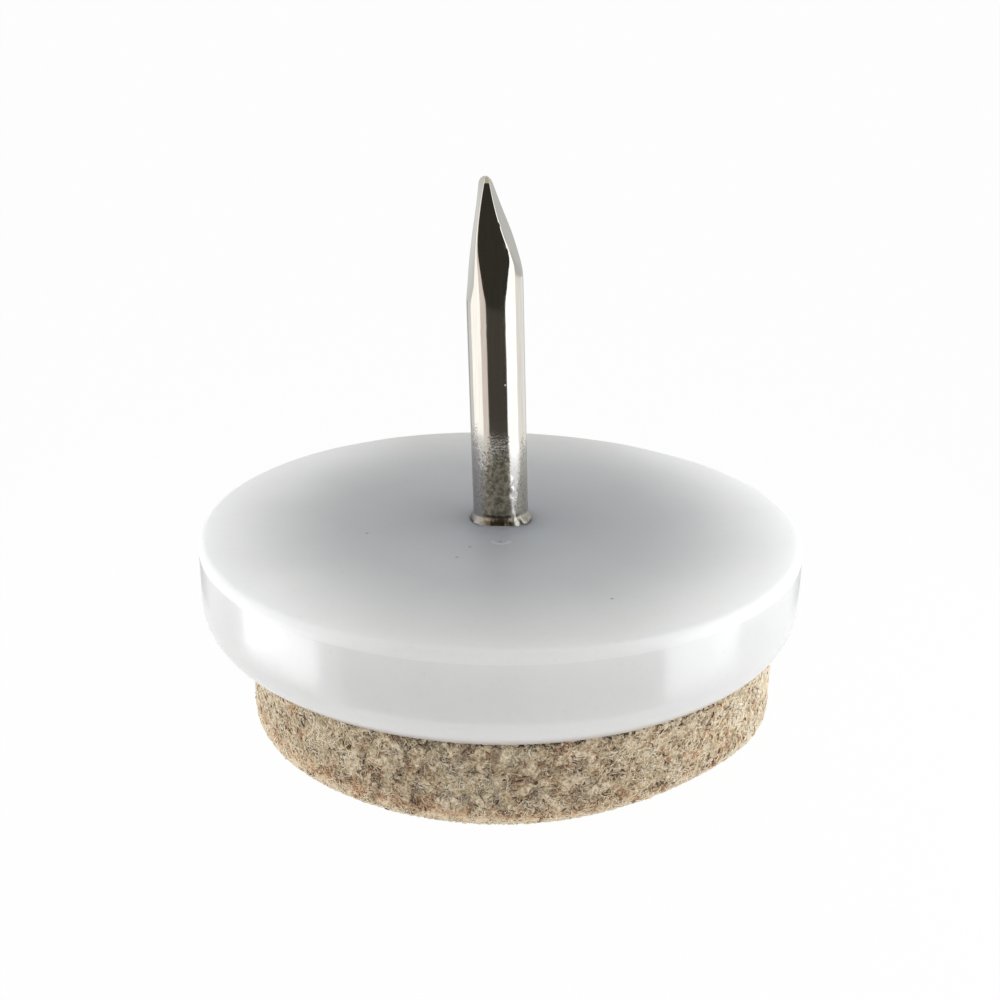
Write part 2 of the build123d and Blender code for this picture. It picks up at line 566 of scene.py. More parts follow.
def run(first, last, steps, crowding=1.0):
    """Points on a straight line, without the last; a higher crowding puts more of them near it."""
    share = 1 - (1 - np.arange(steps) / steps)[:, None] ** crowding
    return np.array(first) + share * (np.array(last) - np.array(first))


def bend(middle, radius, first, last, steps):
    """Points on an arc between two turns in degrees, without the last."""
    turn = np.radians(first + (last - first) * np.arange(steps) / steps)
    return np.stack([middle[0] + radius * np.cos(turn), middle[1] + radius * np.sin(turn)], 1)


def lean(points):
    """Leans points about the nail's foot, from the nail's own frame into the frame of the glide."""
    across = points[..., 0] * np.cos(NAIL_LEAN) - points[..., 2] * np.sin(NAIL_LEAN)
    upward = points[..., 0] * np.sin(NAIL_LEAN) + points[..., 2] * np.cos(NAIL_LEAN) + NAIL_FOOT
    return np.stack([across, points[..., 1], upward], -1)


def bell(value, width):
    """1 where value is 0, falling smoothly to both sides."""
    return np.exp(-(value / width) ** 2)


def turn_between(turn, middle):
    """The signed turn from a middle direction, between minus and plus half a circle."""
    return np.angle(np.exp(1j * (turn - middle)))


def disc_surface():
    """The closed skin of the disc: outside from the middle of the underside to the nail, then the
    inner wall down round the nail's neck and head."""
    edge_r = DISC_R - TOP_EDGE_R
    edge_z = DISC_TOP - TOP_EDGE_R
    outside = np.concatenate([
        run((0.3 * MM, FELT_TOP), (FLAT_R, FELT_TOP), 8),
        bend((FLAT_R, FELT_TOP + SWEEP_R), SWEEP_R, -90, SWEEP_END, 12),
        bend((DISC_R - TIGHT_R, SIDE_FOOT), TIGHT_R, SWEEP_END, 0, 14),
        run((DISC_R, SIDE_FOOT), (DISC_R, edge_z), 10),
        bend((edge_r, edge_z), TOP_EDGE_R, 0, 90, 10),
        run((edge_r, DISC_TOP), (2.2 * MM, DISC_TOP), 34),
        run((2.2 * MM, DISC_TOP), (LIP_R + 0.01 * MM, DISC_TOP), 16, 1.5),
    ])
    inside = np.concatenate([
        run((LIP_R + WALL_GAP, -0.03 * MM), (NECK_R + WALL_GAP, HEAD_TOP), 4),
        run((NECK_R + WALL_GAP, HEAD_TOP + WALL_GAP), (HEAD_R + WALL_GAP, HEAD_TOP + WALL_GAP), 3),
        run((HEAD_R + WALL_GAP, HEAD_TOP), (HEAD_R + WALL_GAP, HEAD_UNDER - WALL_GAP), 3),
        run((HEAD_R, HEAD_UNDER - WALL_GAP), (0.2 * MM, HEAD_UNDER - WALL_GAP), 4),
    ])
    turn = full_turn(DISC_AROUND)
    out = outside[:, 0, None]
    points = around_axis(out, turn, outside[:, 1, None])
    share_up = np.clip((points[..., 2] - SIDE_FOOT) / (DISC_TOP - SIDE_FOOT), 0, 1)
    toward_rim = np.clip((out - 4 * MM) / (8 * MM), 0, 1) ** 1.5
    sunk = 0.05 * MM * toward_rim + SINK * toward_rim * bell(turn_between(turn, SINK_TURN), 0.85)
    creep = CREEP * bell(out - LIP_R, 0.4 * MM) * bell(turn_between(turn, -np.pi / 2), 0.95)
    wavy = 0.004 * MM * wave_noise(points, 2.6 * MM, 41)
    points[..., 2] += share_up * (creep + wavy - sunk)
    wall = around_axis(inside[:, 0, None], turn, inside[:, 1, None])
    poles = np.array([[0, 0, FELT_TOP], lean(np.array([0, 0, HEAD_UNDER - WALL_GAP]))])
    rings = np.concatenate([points, lean(wall)])
    quads, triangles = closed_rings(len(rings), DISC_AROUND)
    return np.concatenate([rings.reshape(-1, 3), poles]), quads, triangles


disc = mesh_piece("disc_moulded", *disc_surface(), plastic, slot="plastic")
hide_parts("glide_base")
print("the disc has", len(disc.data.polygons), "faces")

# %% [markdown]
# ## The nail as one surface
# A nail is made from wire. Dies pinch the point, and what they squeeze out stays as a ragged burr
# along one edge. Other dies grip the wire near the head, and leave it rough there. The whole nail is
# one surface of a turn and a height here: the radius is the smallest of the round wire and the four
# flats of the point, and a soft minimum leaves the narrow rounded edges that shine as thin lines.

# %% The shape of the nail
NAIL_R = 1.1 * MM
NAIL_REACH = 13.6 * MM
LIP_HEIGHT = 0.08 * MM
BEVEL_TOP = 0.36 * MM
PINCH_END = 4.4 * MM
DOME = 0.3 * MM
EDGE_SHARPNESS = 16.0
NAIL_AROUND = 256
SEAM_TURN = np.radians(-90 + 23)
NICK_TURN = np.radians(-90 + 31)
BURR_AMOUNT = 0.08 * MM
# Each burr's height, reach and share of the amount; heights and reaches are in mm
BURRS = [(11.1, 0.12, 1.0), (11.87, 0.06, 0.4)]
FLAKE_HEIGHT = 11.8 * MM
GRIP_TOP = 3.4 * MM
SEAM_TOP = 2.5 * MM

# Each long edge of the point, seen from the tip down: its place in mm at the tip, how fast it leaves,
# and how that changes. Depths are the same in front and behind.
FRONT_LEFT = (-0.243, -0.25, 0.03)
FRONT_RIGHT = (-0.105, 0.146, 0.047)
BACK_LEFT = (-0.484, -0.107, -0.025)
BACK_RIGHT = (-0.064, 0.327, 0.015)
DEPTH = (0.25, 0.294, -0.022)


def nail_rows():
    """Heights and round radii of the rings: head, neck, collar, shank and point, from the bottom up."""
    outline = [
        (HEAD_UNDER, 0.1 * HEAD_R, 1), (HEAD_UNDER, HEAD_R, 4), (HEAD_TOP, HEAD_R, 3),
        (HEAD_TOP, NECK_R, 3), (LIP_HEIGHT - 0.05 * MM, LIP_R, 5), (LIP_HEIGHT, LIP_R, 4),
        (BEVEL_TOP, NAIL_R, 12), (3.9 * MM, NAIL_R, 48), (NAIL_REACH - PINCH_END - MM, NAIL_R, 24),
        (NAIL_REACH - DOME, NAIL_R, 140), (NAIL_REACH - 0.002 * MM, NAIL_R, 18),
    ]
    heights, radii = [outline[0][0]], [outline[0][1]]
    for (low, narrow, _), (high, wide, steps) in zip(outline, outline[1:]):
        share = np.linspace(0, 1, steps + 1)[1:]
        heights.extend(low + share * (high - low))
        radii.extend(narrow + share * (wide - narrow))
    return np.array(heights)[:, None], np.array(radii)[:, None]


def point_corners(height):
    """The four corners of the point's section at a height, anticlockwise from the front left. Past
    PINCH_END from the tip they spread out until they no longer touch the wire."""
    down = np.clip(NAIL_REACH - height, 0, PINCH_END + 1.4 * MM) / MM
    powers = np.stack([np.ones_like(down), down, down ** 2], -1) * MM
    free = 0.35 * np.maximum(down - PINCH_END / MM + 0.5, 0) ** 2 * MM
    depth = powers @ DEPTH + free
    corners = [(FRONT_LEFT, -1, -1), (FRONT_RIGHT, 1, -1), (BACK_RIGHT, 1, 1), (BACK_LEFT, -1, 1)]
    return [np.stack([powers @ edge + side * free, way * depth], -1) for edge, side, way in corners]


def pinched_radius(height, wire, heading):
    """The soft minimum of the radii of the round wire and of the four flats, seen from the middle of
    the section; returned with that middle."""
    corners = point_corners(height)
    fade = np.clip((height - NAIL_REACH + PINCH_END + 1.3 * MM) / (1.2 * MM), 0, 1)[..., None]
    middle = fade * sum(corners) / 4
    toward = (middle * heading).sum(-1)
    radius = -toward + np.sqrt(wire ** 2 - (middle ** 2).sum(-1) + toward ** 2)
    closeness = radius ** -EDGE_SHARPNESS
    for corner, after in zip(corners, corners[1:] + corners[:1]):
        edge = after - corner
        facing = np.stack([edge[..., 1], -edge[..., 0]], -1)
        facing /= np.linalg.norm(facing, axis=-1, keepdims=True)
        offset = (facing * (corner - middle)).sum(-1)
        toward_flat = np.maximum((facing * heading).sum(-1), 0)
        closeness = closeness + (fade[..., 0] > 0) * (toward_flat / offset) ** EDGE_SHARPNESS
    return closeness ** (-1 / EDGE_SHARPNESS), middle, corners


def nail_surface():
    """Points of the nail, its faces, and a share for each point that tells where it is scraped bright,
    with a painted highlight on the burr. The wire gets a domed tip, a burr, die marks, a raised seam and
    a torn collar."""
    height, wire = nail_rows()
    turn = full_turn(NAIL_AROUND)
    heading = np.stack([np.cos(turn), np.sin(turn)], -1)
    radius, middle, corners = pinched_radius(height, wire, heading)
    dome = np.sqrt(np.clip(1 - np.clip((height - NAIL_REACH + DOME) / DOME, 0, 1) ** 2, 0, 1))
    place = middle + (radius * dome)[..., None] * heading
    point = np.concatenate([place, (height + 0 * turn)[..., None]], -1)
    outward = np.concatenate([heading + 0 * place, 0 * place[..., :1]], -1)
    ridge = corners[1] - middle
    from_ridge = turn_between(turn, np.arctan2(ridge[..., 1], ridge[..., 0]))
    ragged = 0.6 + 0.5 * wave_noise(point * [0.3, 0.3, 1], 0.25 * MM, 31)
    burr_share = sum(size * bell(height - place * MM, reach * MM) for place, reach, size in BURRS)
    burr = BURR_AMOUNT * bell(from_ridge, 0.06) * burr_share * ragged
    flake = 0.012 * MM * bell(from_ridge + 0.26, 0.05) * bell(height - FLAKE_HEIGHT, 0.6 * MM)
    above = height > 0
    low = np.clip((GRIP_TOP - height) / (1.6 * MM), 0, 1) ** 2 * above
    gripped = low * 0.0025 * MM * wave_noise(point, 0.16 * MM, 32)
    wander = 0.03 * wave_noise(point * [0, 0, 1], 0.4 * MM, 33)
    swing = (NICK_TURN - SEAM_TURN) * bell(height, 0.7 * MM)
    from_seam = turn_between(turn, SEAM_TURN + swing + wander)
    seam_share = bell(from_seam, 0.07) * np.clip((SEAM_TOP - height) / (0.7 * MM), 0, 1) * above
    seam_share = seam_share * np.clip(0.8 + 0.35 * wave_noise(point, 0.13 * MM, 36), 0.2, 1.2)
    seam = 0.03 * MM * seam_share * (0.8 + 0.3 * wave_noise(point, 0.2 * MM, 34))
    at_lip = bell(height - LIP_HEIGHT, 0.16 * MM)
    collar = at_lip * 0.025 * MM * wave_noise(point, 0.5 * MM, 35)
    nick = at_lip * -0.09 * MM * bell(turn_between(turn, NICK_TURN + 0.16), 0.07)
    push = (burr + flake + gripped + seam + collar + nick) * dome
    point = point + outward * push[..., None]
    rubbed_and_glints = np.maximum(seam_share, 0.8 * bell(turn_between(turn, NICK_TURN), 0.12) * at_lip)
    # painted highlight: the burr gets the bright metal of the scraped places
    rubbed_and_glints = np.maximum(rubbed_and_glints, bell(from_ridge, 0.11) * burr_share)
    points = np.concatenate([point.reshape(-1, 3), [[0, 0, HEAD_UNDER], [*middle[-1, 0], NAIL_REACH]]])
    quads, triangles = closed_rings(len(height), NAIL_AROUND)
    return lean(points), quads, triangles, np.concatenate([rubbed_and_glints.ravel(), [0, 0]])


print("the nail stands", round((NAIL_REACH * np.cos(NAIL_LEAN) + NAIL_FOOT) / MM, 2), "mm above the floor")

# %% [markdown]
# ## Plated steel
# Plating follows what is under it. Bright drawn wire is almost a mirror with faint lines along it. The
# gripped stretch near the collar is rougher and browner, with small dark pits, and the change from one
# to the other is ragged, so a noise moves the height at which it happens.

# %% Nail finish
# Painted reflection: bright plating reaches further down on the two strips where the nail mirrors the
# bright cards. Each strip's from, fully from, fully to and to a place across the nail, and how much lower
# it reaches there, all in mm.
PAINTED_REFLECTION_STRIPS = [(0.26, 0.46, 0.56, 0.80, 2.1), (-0.98, -0.78, -0.62, -0.40, 0.5)]
# The plating starts to look worn at one height and is fully worn at the other, once noise is added
WORN_FROM = 13.4 * MM
WORN_FULLY = 12.3 * MM
DRAWN_WIRE = ((0.62, 0.58, 0.52, 1), (0.79, 0.77, 0.73, 1))
TARNISH = ((0.21, 0.19, 0.14, 1), (0.44, 0.40, 0.32, 1))
# Painted reflection: colours that the tarnish takes at the right and at the left, from and fully from a
# place in mm
TARNISH_PAINTED_REFLECTIONS = [(0.25, 0.75, (0.47, 0.46, 0.41, 1)), (-0.45, -0.95, (0.37, 0.355, 0.36, 1))]
PIT_BLACK = (0.12, 0.10, 0.07, 1)
DARK_LINE_AND_SHADE_BLACK = (0.06, 0.045, 0.03, 1)
BEVEL_BROWN = (0.20, 0.17, 0.11, 1)
RUBBED_AND_GLINT_METAL = (0.96, 0.93, 0.86, 1)
PAINTED_REFLECTION_WHITE = (1.0, 0.99, 0.97, 1)
# Two painted glints, bright spots on the front: a place in the nail's own frame and a reach, in mm
GLINTS = [((0.18, -1.06, 9.9), 0.045), ((0.31, -1.06, 5.85), 0.05)]


def plating_and_reflection_height(across, height, blotch, fine):
    """The height that tells how worn the plating is: the real one, raised by noise, and moved by painted
    reflection: raised on the two strips of mirrored light and lowered at the left edge."""
    for low, high, far_high, far_low, lower in PAINTED_REFLECTION_STRIPS:
        on_reflection_strip = add_band(across, low * MM, high * MM, far_high * MM, far_low * MM)
        height = add_product(on_reflection_strip, lower * MM, height)
    painted_grey_left_edge = add_step(across, -0.8 * MM, -1.08 * MM)
    height = add_product(painted_grey_left_edge, -0.4 * MM, height)
    height = add_product(blotch, 1.0 * MM, height)
    return add_product(fine, 3.0 * MM, height)


def tarnish_and_reflection_colour(place, across):
    """Mottled brown in front, and painted reflection that makes it grey at the left and paler at the right.
    """
    tone, _ = add_grain(place, 5200.0)
    colour = add_blend(add_step(tone, 0.34, 0.66), *TARNISH)
    for low, high, side_colour in TARNISH_PAINTED_REFLECTIONS:
        colour = add_blend(add_step(across, low * MM, high * MM), colour, side_colour)
    return colour


def dark_line_and_shade_share(across, above_top, rubbed_and_glints):
    """In front of the nail, a dark line over the bevel and painted shade under the lip, but not on scraped
    bright metal.
    """
    in_front = add_step(add_math("ABSOLUTE", across), 0.85 * MM, 0.5 * MM)
    in_front = add_product(in_front, add_math("SUBTRACT", 1.0, rubbed_and_glints))
    over_bevel = add_band(above_top, 0.37 * MM, 0.42 * MM, 0.48 * MM, 0.56 * MM)
    under_lip = add_step(above_top, 0.31 * MM, 0.24 * MM)
    both = add_math("MAXIMUM", over_bevel, under_lip)
    return add_product(add_product(both, in_front), 0.85)


def painted_strip_share(across, above_top, moved):
    """Painted reflection: the lower end of the right strip of mirrored light, which the photograph shows
    almost white.
    """
    strip = add_band(across, 0.26 * MM, 0.42 * MM, 0.56 * MM, 0.74 * MM)
    strip = add_product(strip, add_step(moved, 12.2 * MM, 13.2 * MM))
    return add_product(strip, add_step(above_top, 3.6 * MM, 3.0 * MM))


def add_glints(place, rubbed_and_glints):
    """Adds the two painted glints, bright spots, to the share that tells where the metal is scraped bright.
    """
    for middle, reach in GLINTS:
        spot = tuple(float(v) for v in lean(np.array(middle) * MM))
        away = add_vector_math("DISTANCE", place, spot).outputs["Value"]
        glint = add_step(away, reach * MM, 0.4 * reach * MM)
        rubbed_and_glints = add_math("MAXIMUM", rubbed_and_glints, glint)
    return rubbed_and_glints


def steel_material():
    """Bright plating above, and duller, pitted metal near the collar, brown in front. Painted reflection
    keeps two strips bright, greys the left and makes the right paler. The seam and the torn collar are
    scraped bright, two painted glints are added as bright metal, and painted shade sits under the lip in
    front, with a dark line over the bevel."""
    material, tree = new_material("plated_steel")
    place = add_node("TexCoord", tree=tree).outputs["Object"]
    parts = add_node("SeparateXYZ", Vector=place).outputs
    across = parts["X"]
    above_top = add_math("SUBTRACT", parts["Z"], DISC_TOP)
    rubbed_and_glints = add_node("Attribute", {"attribute_name": "rubbed_and_glints"}, tree).outputs["Fac"]
    blotch, _ = add_grain(place, 2600.0)
    fine, pits = add_grain(place, 12000.0)
    drawn = add_node("Mapping", Vector=place, Scale=(1, 1, 0.06))
    lines, _ = add_grain(drawn.outputs[0], 9000.0)
    moved = plating_and_reflection_height(across, parts["Z"], blotch, fine)
    # the worn share, moved by the painted reflection on the strips and at the left edge
    worn = add_step(moved, WORN_FROM, WORN_FULLY)
    streaked = add_blend(lines, *DRAWN_WIRE)
    colour = add_blend(worn, streaked, tarnish_and_reflection_colour(place, across))
    speckled = add_choice(add_step(fine, 0.35, 0.65), 0.82, 1.12)
    colour = add_blend(1.0, colour, add_choice(worn, 1.0, speckled), "MULTIPLY")
    dirty = add_product(pits, add_product(worn, 0.9, 0.04))
    colour = add_blend(dirty, colour, PIT_BLACK)
    # painted shade under the lip in front, and a dark line over the bevel
    colour = add_blend(dark_line_and_shade_share(across, above_top, rubbed_and_glints), colour, DARK_LINE_AND_SHADE_BLACK)
    on_bevel = add_step(above_top, 0.42 * MM, 0.34 * MM)
    colour = add_blend(add_product(on_bevel, 0.4), colour, BEVEL_BROWN)
    # painted glints: two bright spots in front, made as bright metal
    rubbed_and_glints = add_glints(place, rubbed_and_glints)
    colour = add_blend(rubbed_and_glints, colour, RUBBED_AND_GLINT_METAL)
    # painted reflection: the lower end of the right strip made almost white
    colour = add_blend(painted_strip_share(across, above_top, moved), colour, PAINTED_REFLECTION_WHITE)
    rough = add_product(worn, 0.2, 0.1)
    rough = add_product(rubbed_and_glints, 0.3, rough)
    line_bump = add_node("Bump", Height=lines, Strength=0.25, Distance=0.004 * MM)
    worn_grain = add_product(fine, worn)
    bump = add_node("Bump", Height=worn_grain, Strength=0.5, Distance=0.012 * MM, Normal=line_bump.outputs[0])
    add_shader(tree, Base_Color=colour, Roughness=rough, Normal=bump.outputs[0], Metallic=1.0)
    return material


*nail_mesh, rubbed_and_glints = nail_surface()
nail = mesh_piece("nail_plated", *nail_mesh, steel_material(), slot="nail_metal")
nail.data.attributes.new("rubbed_and_glints", "FLOAT", "POINT").data.foreach_set("value", rubbed_and_glints.astype(np.float32))
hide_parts("nail")
print("the nail has", len(nail.data.polygons), "faces")

# %% [markdown]
# ## Pressed wool felt
# The pad was punched from a sheet of grey-brown wool felt, so its side is a cut through thousands of
# short curly fibres, and its foot is tan and cream. Painted noise never looks like that from close by.
# Here the pad is one bumpy body, and every fibre on it is a thin bent tube. Both are laid on it by a
# function of a turn about its axis and a distance along its outline.

# %% The shape of the pad
FELT_R = 10.6 * MM
FELT_ASIDE = 0.5 * MM
SHARP_ROUND = 0.16 * MM
WORN_ROUND = 1.2 * MM
WORN_TURN = np.radians(-50.0)


def edge_round(turn):
    """The radius of the lower edge's rounding, which is larger where the pad is worn."""
    return SHARP_ROUND + (WORN_ROUND - SHARP_ROUND) * bell(turn_between(turn, WORN_TURN), 0.56)


def seat_height(out):
    """The height of the disc's underside: flat to FLAT_R, and then a circular sweep upwards."""
    past = np.clip(out - FLAT_R, 0, SWEEP_R * 0.6)
    return FELT_TOP + SWEEP_R - np.sqrt(SWEEP_R ** 2 - past ** 2)


def side_end(turn):
    """How far along the outline the pad meets the disc. It is measured from the flat sole's edge."""
    out = np.hypot(FELT_ASIDE + FELT_R * np.cos(turn), FELT_R * np.sin(turn))
    return seat_height(out) + edge_round(turn) * (np.pi / 2 - 1)


def felt_surface(turn, along):
    """A point on the pad and the way it faces. Below 0 along is the flat sole, with its radius growing;
    then a quarter circle of the edge's rounding; and past that the upright side."""
    radius = edge_round(turn)
    curl = np.clip(along / radius, 0, np.pi / 2)
    flat = np.minimum(along, 0) * (FELT_R - radius) / FELT_R
    rise = np.maximum(along - radius * np.pi / 2, 0)
    out = FELT_R - radius + flat + radius * np.sin(curl)
    height = radius * (1 - np.cos(curl)) + rise
    return around_axis(out, turn, height, FELT_ASIDE), around_axis(np.sin(curl), turn, -np.cos(curl))


ends = side_end(np.linspace(0, 2 * np.pi, 181)) / MM
print("the outline runs from", round(ends.min(), 2), "to", round(ends.max(), 2), "mm up to the disc")

# %% [markdown]
# ## Wool finishes
# The body shows between the fibres, so it is mottled in the same colours, with dark spots of painted
# shade.
# Each fibre carries its own colour, from cream to dark brown, as natural undyed wool does, with painted
# light and shade laid into it, and the finish only has to read it.

# %% Wool finishes


def felt_body_material():
    """Grey-brown wool, pale and dull by the thread and in patches, tan and cream near the floor, and dark
    spots of painted shade between the threads.
    """
    material, tree = new_material("wool_body")
    place = add_node("TexCoord", tree=tree).outputs["Object"]
    height = add_node("SeparateXYZ", Vector=place).outputs["Z"]
    patches, _ = add_grain(place, 1500.0)
    threads, painted_gap_shade = add_grain(place, 8500.0)
    in_patch = add_step(patches, 0.35, 0.65)
    on_thread = add_step(threads, 0.36, 0.66)
    dull = add_blend(in_patch, paint(150, 130, 100), paint(196, 176, 146))
    pale = add_blend(in_patch, paint(206, 188, 158), paint(240, 226, 202))
    colour = add_blend(on_thread, dull, pale)
    lower = add_product(threads, 0.4 * MM, height)
    tans = add_blend(on_thread, paint(190, 148, 112), paint(240, 214, 180))
    colour = add_blend(add_step(lower, 0.85 * MM, 0.6 * MM), colour, tans)
    cream = add_step(lower, 0.62 * MM, 0.48 * MM)
    colour = add_blend(cream, colour, paint(246, 228, 200))
    # painted shade: dark spots between the threads
    colour = add_blend(painted_gap_shade, colour, paint(62, 48, 36))
    bump = add_node("Bump", Height=threads, Strength=0.6, Distance=0.03 * MM)
    add_shader(tree, Base_Color=colour, Normal=bump.outputs["Normal"], Roughness=0.95,
               Specular_IOR_Level=0.2)
    return material


def fibre_material():
    """Wool fibre: its own colour with painted light and shade in it, a soft sheen, and no mirror-like shine.
    """
    material, tree = new_material("wool_fibre")
    own = add_node("Attribute", {"attribute_name": "wool_and_painted_light"}, tree)
    add_shader(tree, Base_Color=own.outputs["Color"], Roughness=0.7, Specular_IOR_Level=0.3,
               Sheen_Weight=0.15)
    return material


wool_body = felt_body_material()
wool_fibre = fibre_material()
print("wool finishes are ready")

# %% [markdown]
# ## The body of the pad
# Rings of points run from the middle of the sole, round the edge and up the side, and back in along
# the disc's underside. Two sizes of noise push the side in and out, and small dark nicks show at the
# seam, where the felt pulls away from the glue.

# %% Pad body
AROUND = 640
SOLE_RINGS = 22
EDGE_RINGS = 5
SIDE_RINGS = 30
TOP_RINGS = 6
LUMP = 0.03 * MM
GRAIN = 0.022 * MM
SOLE_LIFT = 0.03 * MM
GLUE_GAP = 0.02 * MM
BODY_IN = 0.03 * MM
FLOOR_GAP = 0.005 * MM
NICK_DEPTH = 0.16 * MM
NICK_REACH = 0.25 * MM


def felt_body():
    """The bumpy closed body of the pad, which stops FLOOR_GAP above the floor."""
    turn = full_turn(AROUND)
    curl_end = edge_round(turn) * np.pi / 2
    sole = -FELT_R * (1 - np.linspace(0.03, 1, SOLE_RINGS) ** 0.8)[:, None] + 0 * turn
    edge = np.linspace(0, 1, EDGE_RINGS + 1)[1:, None] * curl_end
    share = np.linspace(0, 1, SIDE_RINGS + 1)[1:, None]
    side = curl_end + share * (side_end(turn) - curl_end)
    along = np.concatenate([sole, edge, side])
    point, facing = felt_surface(turn + 0 * along, along)
    push = LUMP * wave_noise(point, 0.55 * MM, 11) + GRAIN * wave_noise(point, 0.17 * MM, 12)
    near_seam = bell(side_end(turn) - along, NICK_REACH)
    nicks = np.clip(wave_noise(point, 0.5 * MM, 13) - 0.4, 0, 1.5) * near_seam
    push = push - BODY_IN - NICK_DEPTH * nicks
    push = np.where(along < 0, -SOLE_LIFT + np.minimum(push, 0.4 * SOLE_LIFT), push)
    point = point + facing * push[..., None]
    point[..., 2] = np.maximum(point[..., 2], FLOOR_GAP)
    inward = np.linspace(1, 0.02, TOP_RINGS + 1)[1:, None]
    out = FELT_R * inward + 0 * turn
    over = np.hypot(FELT_ASIDE + out * np.cos(turn), out * np.sin(turn))
    top = around_axis(out, turn, seat_height(over) - GLUE_GAP, FELT_ASIDE)
    rings = np.concatenate([point, top])
    poles = np.array([[FELT_ASIDE, 0, SOLE_LIFT], [FELT_ASIDE, 0, FELT_TOP - GLUE_GAP]])
    points = np.concatenate([rings.reshape(-1, 3), poles])
    quads, triangles = closed_rings(len(rings), AROUND)
    return points, quads, triangles


body = mesh_piece("felt_body", *felt_body(), wool_body, slot="wool_felt")
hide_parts("felt_pad")
print("the pad's body has", len(body.data.polygons), "faces")

# %% [markdown]
# ## The fibres
# A fibre starts somewhere on the pad and wanders: its heading turns steadily, so it curls, and its
# ends dive back into the felt. The wandering is worked out flat, as steps around and along, and
# felt_surface wraps it onto the pad. All fibres are worked out together, as arrays of fibre by step.
# A tube with three sides is enough, since a fibre is hardly wider than a pixel.

# %% Fibre tubes
STEPS = 4
SIDES = 3
WOOL = np.array([paint(*screen) for screen in [
    (252, 243, 224), (240, 226, 200), (226, 208, 178), (208, 190, 160),
    (184, 165, 134), (142, 118, 90), (80, 60, 44), (192, 148, 118),
]])
WOOL_SHARE = np.array([0.13, 0.22, 0.22, 0.15, 0.09, 0.09, 0.07, 0.03])
TAN = np.array([paint(*screen) for screen in [
    (242, 218, 186), (228, 196, 160), (202, 158, 120), (132, 96, 70),
]])
TAN_SHARE = np.array([0.40, 0.26, 0.21, 0.13])
CREAM = np.array(paint(254, 240, 214))
TAN_TOP = 0.82 * MM
CREAM_TOP = 0.48 * MM
SEAM_SHADE_DARK = np.array(paint(70, 52, 40))
PALEST = 0.97
# Fibre lengths, lifts and thicknesses are in mm, and the curl is a turn per mm
LENGTH, LENGTH_SPREAD, SHORTEST, LONGEST = 0.25, 0.5, 0.12, 0.9
CURL = 3.2
LIFT = (-0.03, 0.018)
THICKNESS = (0.016, 0.034)


def fibre_paths(rng, turn, along, length, curl, lift):
    """Middle lines of fibres, and the way the pad faces along them. Headings turn by curl per length
    plus a small swing, and lift is highest in the middle."""
    share = np.linspace(0, 1, STEPS)[None, :]
    count = len(turn)
    heading = rng.uniform(0, 2 * np.pi, count)[:, None] + (curl * length)[:, None] * (share - 0.5)
    heading = heading + rng.normal(0, 0.35, count)[:, None] * np.sin(2 * np.pi * share)
    step = length[:, None] / (STEPS - 1)
    around = np.cumsum(np.cos(heading) * step, 1)
    upward = np.cumsum(np.sin(heading) * step, 1)
    around -= around.mean(1, keepdims=True)
    upward -= upward.mean(1, keepdims=True)
    radius = np.maximum(FELT_R + np.minimum(along, 0), 0.6 * MM)
    turn = turn[:, None] + around / radius[:, None]
    along = np.minimum(along[:, None] + upward, side_end(turn) - 0.02 * MM)
    point, facing = felt_surface(turn, along)
    arch = np.sin(np.pi * share) ** 0.7
    return point + facing * (lift[:, None] * arch - 0.02 * MM * (1 - arch))[..., None], facing


def fibre_tubes(middle, facing, thickness):
    """Three-sided tubes about the middle lines, thinner towards both ends."""
    count = len(middle)
    ahead = np.gradient(middle, axis=1)
    ahead /= np.linalg.norm(ahead, axis=-1, keepdims=True) + 1e-12
    aside = np.cross(ahead, facing)
    aside /= np.linalg.norm(aside, axis=-1, keepdims=True) + 1e-12
    upright = np.cross(aside, ahead)
    share = np.linspace(-1, 1, STEPS)[None, :, None, None]
    size = thickness[:, None, None, None] * (1 - 0.7 * np.abs(share) ** 3)
    round_about = full_turn(SIDES)[:, None, :, None]
    ring = np.cos(round_about) * upright[:, :, None] + np.sin(round_about) * aside[:, :, None]
    points = middle[:, :, None] + size * ring
    points[..., 2] = np.maximum(points[..., 2], 0.0)
    index = np.arange(count * STEPS * SIDES).reshape(count, STEPS, SIDES)
    after = np.roll(index, -1, 2)
    quads = np.stack([index[:, :-1], after[:, :-1], after[:, 1:], index[:, 1:]], -1)
    ends = np.concatenate([index[:, 0][:, ::-1], index[:, -1]])
    return points.reshape(-1, 3), quads.reshape(-1, 4), ends.reshape(-1, 3)


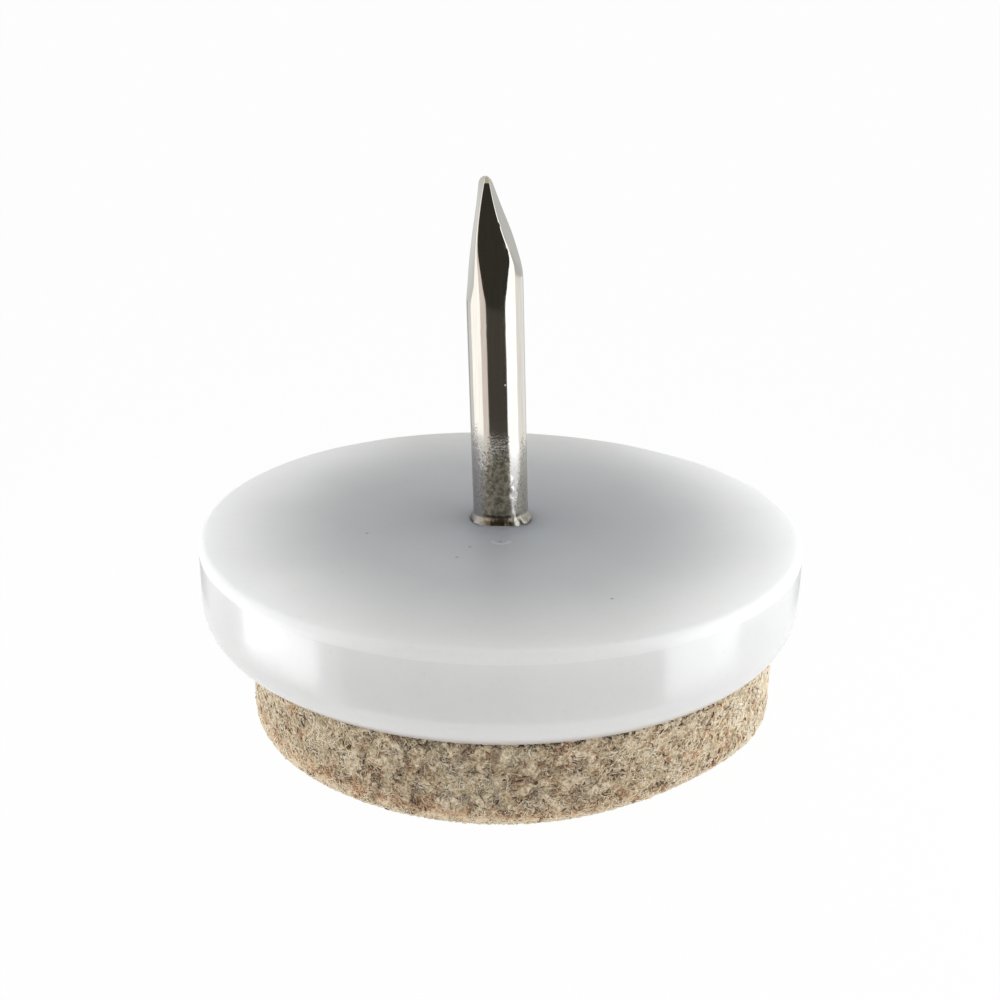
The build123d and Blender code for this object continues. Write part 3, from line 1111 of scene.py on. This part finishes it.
def fibre_colours_with_light(rng, middle, below_seam):
    """A colour for each fibre: drawn from WOOL and shifted by soft patches, paler towards the left and
    right as painted light, tan and then cream towards the floor, and sometimes dark right under the disc as
    painted shade."""
    count = len(below_seam)
    pick = rng.uniform(0, 1, count) + 0.14 * wave_noise(middle, 1.4 * MM, 21)
    across = middle[:, 0] / FELT_R
    # painted light: paler wool is picked towards the left and right ends
    pick = pick + 0.05 - 0.13 * across ** 2
    natural = WOOL[np.searchsorted(np.cumsum(WOOL_SHARE)[:-1], pick)]
    edge = TAN[np.searchsorted(np.cumsum(TAN_SHARE)[:-1], rng.uniform(0, 1, count))]
    height = middle[:, 2] + 0.12 * MM * wave_noise(middle, 0.8 * MM, 22)
    tan = np.clip((TAN_TOP - height) / (0.15 * MM), 0, 1) * (1 - 0.6 * np.clip(across, 0, 1))
    cream_top = CREAM_TOP + 0.3 * MM * np.clip(across + 0.3, 0, 1)
    cream = np.clip((cream_top - height) / (0.16 * MM), 0, 0.9)
    chosen = np.where((rng.uniform(0, 1, count) < tan)[:, None], edge, natural)
    chosen = np.where((rng.uniform(0, 1, count) < cream)[:, None], CREAM, chosen)
    # painted shade: dark fibres along the seam under the disc's rim
    painted_seam_shade = 0.45 * (below_seam < 0.13 * MM)
    chosen = np.where((rng.uniform(0, 1, count) < painted_seam_shade)[:, None], SEAM_SHADE_DARK, chosen)
    shade = rng.uniform(0.76, 1.08, count) * (1 + 0.12 * wave_noise(middle, 0.9 * MM, 23))
    # painted light: paler towards the left and right ends, where the side lamps shine
    shade *= 0.97 + 0.8 * np.clip(across, 0, 0.7) + 1.0 * np.clip(-across - 0.3, 0, 0.7)
    shade = np.where(height < cream_top, 1.0, shade)
    shade = np.minimum(shade, PALEST / chosen[:, :3].max(1))
    return np.concatenate([chosen[:, :3] * shade[:, None], chosen[:, 3:]], 1)


def fibre_piece(name, seed, count, lowest, highest):
    """One mesh of many fibres. Their places run from lowest to highest, which are shares of the side
    where positive, and of the sole's area where negative."""
    rng = np.random.default_rng(seed)
    turn = rng.uniform(0, 2 * np.pi, count)
    share = rng.uniform(lowest, highest, count)
    on_sole = FELT_R * (np.sqrt(1 + np.minimum(share, 0)) - 1)
    along = np.where(share < 0, on_sole, share * side_end(turn))
    length = rng.lognormal(np.log(LENGTH), LENGTH_SPREAD, count)
    length = np.clip(length, SHORTEST, LONGEST) * MM
    curl = rng.normal(0, CURL, count) / MM
    lift = rng.uniform(*LIFT, count) * MM
    middle, facing = fibre_paths(rng, turn, along, length, curl, lift)
    thickness = rng.uniform(*THICKNESS, count) * MM
    points, quads, ends = fibre_tubes(middle, facing, thickness)
    piece = mesh_piece(name, points, quads, ends, wool_fibre, slot="wool_felt")
    colours = fibre_colours_with_light(rng, middle.mean(1), side_end(turn) - along)
    layer = piece.data.color_attributes.new("wool_and_painted_light", "FLOAT_COLOR", "POINT")
    layer.data.foreach_set("color", np.repeat(colours, STEPS * SIDES, 0).astype(np.float32).ravel())
    return piece


SIDE_FIBRES = 7000
SIDE_PIECES = 4
SOLE_FIBRES = 3500
side_fibres = [fibre_piece("felt_fibres_side_" + str(number + 1), 100 + number, SIDE_FIBRES, -0.03, 1.0)
               for number in range(SIDE_PIECES)]
sole_fibres = fibre_piece("felt_fibres_sole", 200, SOLE_FIBRES, -1.0, 0.0)
tubes = len(side_fibres) * SIDE_FIBRES + SOLE_FIBRES
print(tubes, "fibres, with", sum(len(p.data.polygons) for p in side_fibres + [sole_fibres]), "faces")
